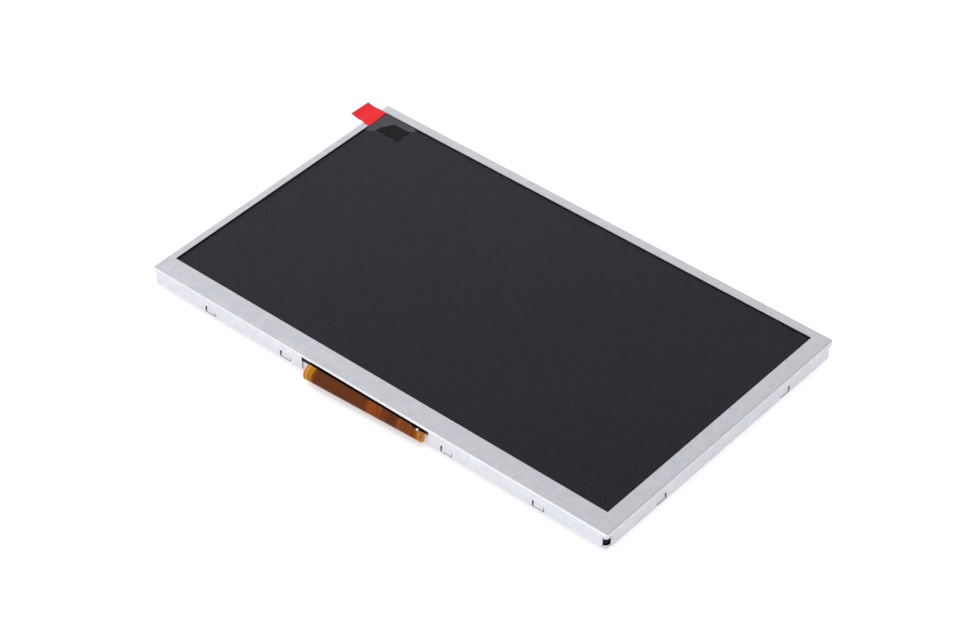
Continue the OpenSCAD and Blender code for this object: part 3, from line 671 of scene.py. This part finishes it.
for point, amount in zip(foot.data.vertices, firm.data):
    inset = min(FOOT_HIGH.x - point.co.x, (point.co.y - FOOT_LOW.y) * NEAR_FADE_RATE)
    pressed = ease(-into_air(point.co.x, point.co.y), -0.1 * MM, 0.15 * MM)
    amount.value = ease(inset, 0.0, FOOT_FADE) * pressed
    point.co.z += film_rise(point.co.x, point.co.y) + FILM_T + CLEARANCE
thicken(foot, FOOT_T)
adhesive = Finish("dark foot patch", Roughness=0.45, Specular_IOR_Level=0.12)
dabs = adhesive.noise(adhesive.place(), scale=700.0)
dark_share = adhesive.add("ShaderNodeAttribute", {"attribute_name": "firm"}, {}, "Fac")
adhesive.show(
    Base_Color=adhesive.blend(dabs, paint(22, 17, 20), paint(34, 29, 32)),
    Alpha=dark_share * adhesive.band(dabs, 0.3, 0.7, 0.68, 0.8),
)
adhesive.coat(foot)
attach(foot, "root")

tab = plate("red_pull_tab", (0, 0, tab_low.z), (1, 1, tab_low.z), cuts=(24, 12))
bpy.ops.object.mode_set(mode="OBJECT")
for point in tab.data.vertices:
    inward, along = point.co.x, point.co.y
    place = TAB_FREE[0].lerp(TAB_FREE[1], along).lerp(
        TAB_STUCK[0].lerp(TAB_STUCK[1], along), inward)
    sag = ease(inward, *SAG_STARTS) * (1 - ease(inward, *SAG_ENDS))
    point.co = place + Vector((0, 0, point.co.z - TAB_SAG * sag))
thicken(tab, tab_high.z - tab_low.z)
red_tape = Finish("red tape", Roughness=0.42, Specular_IOR_Level=0.12)
dye = red_tape.noise(red_tape.place(), scale=260.0)
stretch_lines = red_tape.noise(red_tape.place(turn=0.1, stretch=(400, 3200, 400)))
red_tape.show(
    Base_Color=red_tape.blend(dye, paint(231, 30, 40), paint(241, 44, 52)),
    Normal=red_tape.bump(stretch_lines, depth=0.03 * MM, strength=0.4),
)
red_tape.coat(tab)
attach(tab, "root")
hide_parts("pull_tab")


# Studio: a plain pale floor just under the module, a pale room and one wide soft lamp
# overhead. In the metal and the display face the room fades to the right and upwards.
FLOOR_GAP = 0.02 * MM
FLOOR_SEEN = 0.48
FLOOR_MIRRORED = (0.36, 0.22)
PAST_RIGHT_WALL = (82.4 * MM, 83.2 * MM)
WHITE = (1.0, 1.0, 1.0, 1.0)
BLACK = (0.0, 0.0, 0.0, 1.0)
ROOM_LIGHT = 0.88
BRIGHT_X, BRIGHT_Z = -0.49, 0.655
FADE_X, FADE_Z = 2.2, 4.6
MIRRORED_BRIGHT = 0.85
MIRRORED_LEAST = 0.48
LAMP_PLACE = Vector((-0.15, -0.25, 1.0))


def ray(wiring, kind):
    """1 for rays of one kind, such as Is Camera Ray, and 0 for the others."""
    return wiring.add("ShaderNodeLightPath", {}, {}, kind)


bpy.ops.object.select_all(action="DESELECT")
bpy.ops.mesh.primitive_plane_add(size=3.0, location=(0, 0, cad_box[0].z - FLOOR_GAP))
floor = bpy.context.object
floor.name = "studio_floor"
ground = Finish("pale floor", Base_Color=(0.8, 0.8, 0.8, 1.0), Roughness=0.9,
                Specular_IOR_Level=0.0, Emission_Strength=1.0)
to_right = measure(ground, ground.place(), "X")
mirrored_floor = ground.band(to_right, *PAST_RIGHT_WALL, *FLOOR_MIRRORED)
glow = ground.combine("MAXIMUM", ray(ground, "Is Camera Ray") * FLOOR_SEEN,
                  ray(ground, "Is Glossy Ray") * mirrored_floor)
ground.show(Emission_Color=ground.blend(glow, BLACK, WHITE))
ground.coat(floor)

room = bpy.data.worlds.new("pale room")
bpy.context.scene.world = room
room.use_nodes = True
walls = Wiring(room.node_tree)
gaze = walls.add("ShaderNodeTexCoord", {}, {}, "Generated")
aside = measure(walls, gaze, "X") - BRIGHT_X
aloft = measure(walls, gaze, "Z") - BRIGHT_Z
slope = (1 - aside * FADE_X - aloft * FADE_Z) * MIRRORED_BRIGHT
mirrored = walls.add("ShaderNodeMapRange", {}, {
    "Value": slope, "From Min": MIRRORED_LEAST, "From Max": 1.0,
    "To Min": MIRRORED_LEAST, "To Max": 1.0}, 0)
seen = walls.combine("MAXIMUM", ray(walls, "Is Camera Ray"), ray(walls, "Is Transmission Ray"))
level = walls.combine("MAXIMUM", seen, ROOM_LIGHT)
level = level + ray(walls, "Is Glossy Ray") * (mirrored - level)
walls.feed(room.node_tree.nodes["Background"], {"Color": WHITE, "Strength": level})

lamp = bpy.data.lights.new("overhead_softbox", "AREA")
lamp.size = 0.5
lamp.energy = 1.6
stand = bpy.data.objects.new("overhead_softbox", lamp)
stand.location = LAMP_PLACE
stand.rotation_euler = (-LAMP_PLACE).to_track_quat("-Z", "Y").to_euler()
bpy.context.scene.collection.objects.link(stand)


# Camera: a long lens that stands off the near right corner of the module and looks down on
# its face.
LOOK = Vector((-0.4896, 0.5722, -0.6579))
lens = bpy.data.cameras.new("camera")
lens.lens = 112.1
lens.sensor_width = 36.0
lens.clip_start = 0.01
camera = bpy.data.objects.new("camera", lens)
camera.location = (0.40895, -0.48150, 0.55135)
camera.rotation_euler = LOOK.to_track_quat("-Z", "Y").to_euler()
bpy.context.scene.collection.objects.link(camera)
bpy.context.scene.camera = camera
